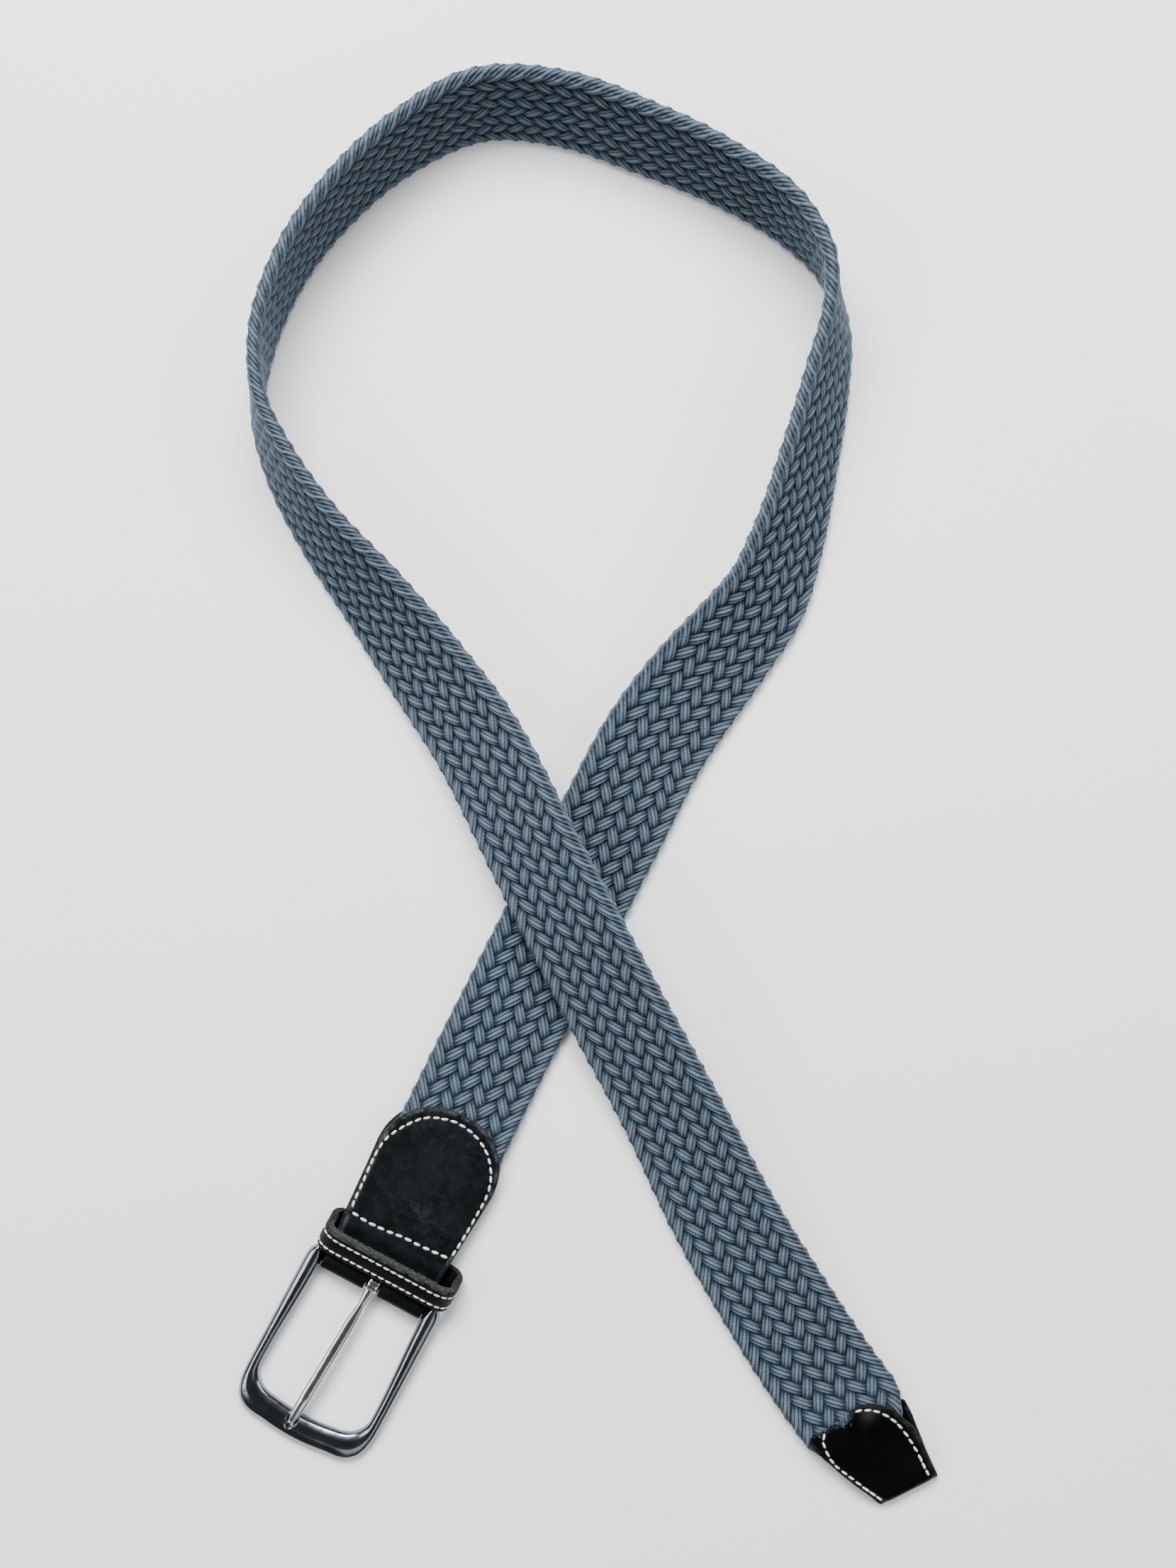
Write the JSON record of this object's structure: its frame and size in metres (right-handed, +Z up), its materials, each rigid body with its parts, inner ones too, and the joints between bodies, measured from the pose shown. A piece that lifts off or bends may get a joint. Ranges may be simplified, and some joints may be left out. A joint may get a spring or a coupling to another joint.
{
  "type": "braided stretch belt",
  "caption": "Woven elastic belt with leather ends and a pin buckle, laid flat in a crossed loop with its tip's tail passing over the buckle's tail.",
  "frame": {"origin": "on the table under the middle of the whole lay", "axes": "+Z up from the table, +Y from the two ends towards the loop's crown, +X to the right seen from above with the buckle at the lower left"},
  "size_m": [0.2156, 0.4356, 0.035],
  "materials": {
    "braid": "slate blue braid of elastic cords",
    "nubuck": "black nubuck, lightly scuffed",
    "keeper_leather": "black leather with a raw rear edge",
    "tip_leather": "smooth black leather",
    "frame_metal": "polished dark nickel",
    "prong_metal": "polished nickel"
  },
  "bodies": {
    "belt": {"braided_strap": "braid", "buckle_tab": "nubuck", "keeper_loop": "keeper_leather", "tip_tab": "tip_leather"},
    "frame": {"buckle_frame": "frame_metal"},
    "prong": {"prong": "prong_metal"}
  },
  "joints": [
    {"name": "frame_on_tab", "type": "hinge", "parent": "belt", "child": "frame", "pos_m": [-0.06579, -0.1491, 0.0044], "axis": [-0.8812, 0.4727, 0], "range_deg": [-60, 45]},
    {"name": "prong_on_bar", "type": "hinge", "parent": "frame", "child": "prong", "pos_m": [-0.06579, -0.1491, 0.0044], "axis": [-0.8812, 0.4727, 0], "range_deg": [0, 45]}
  ]
}
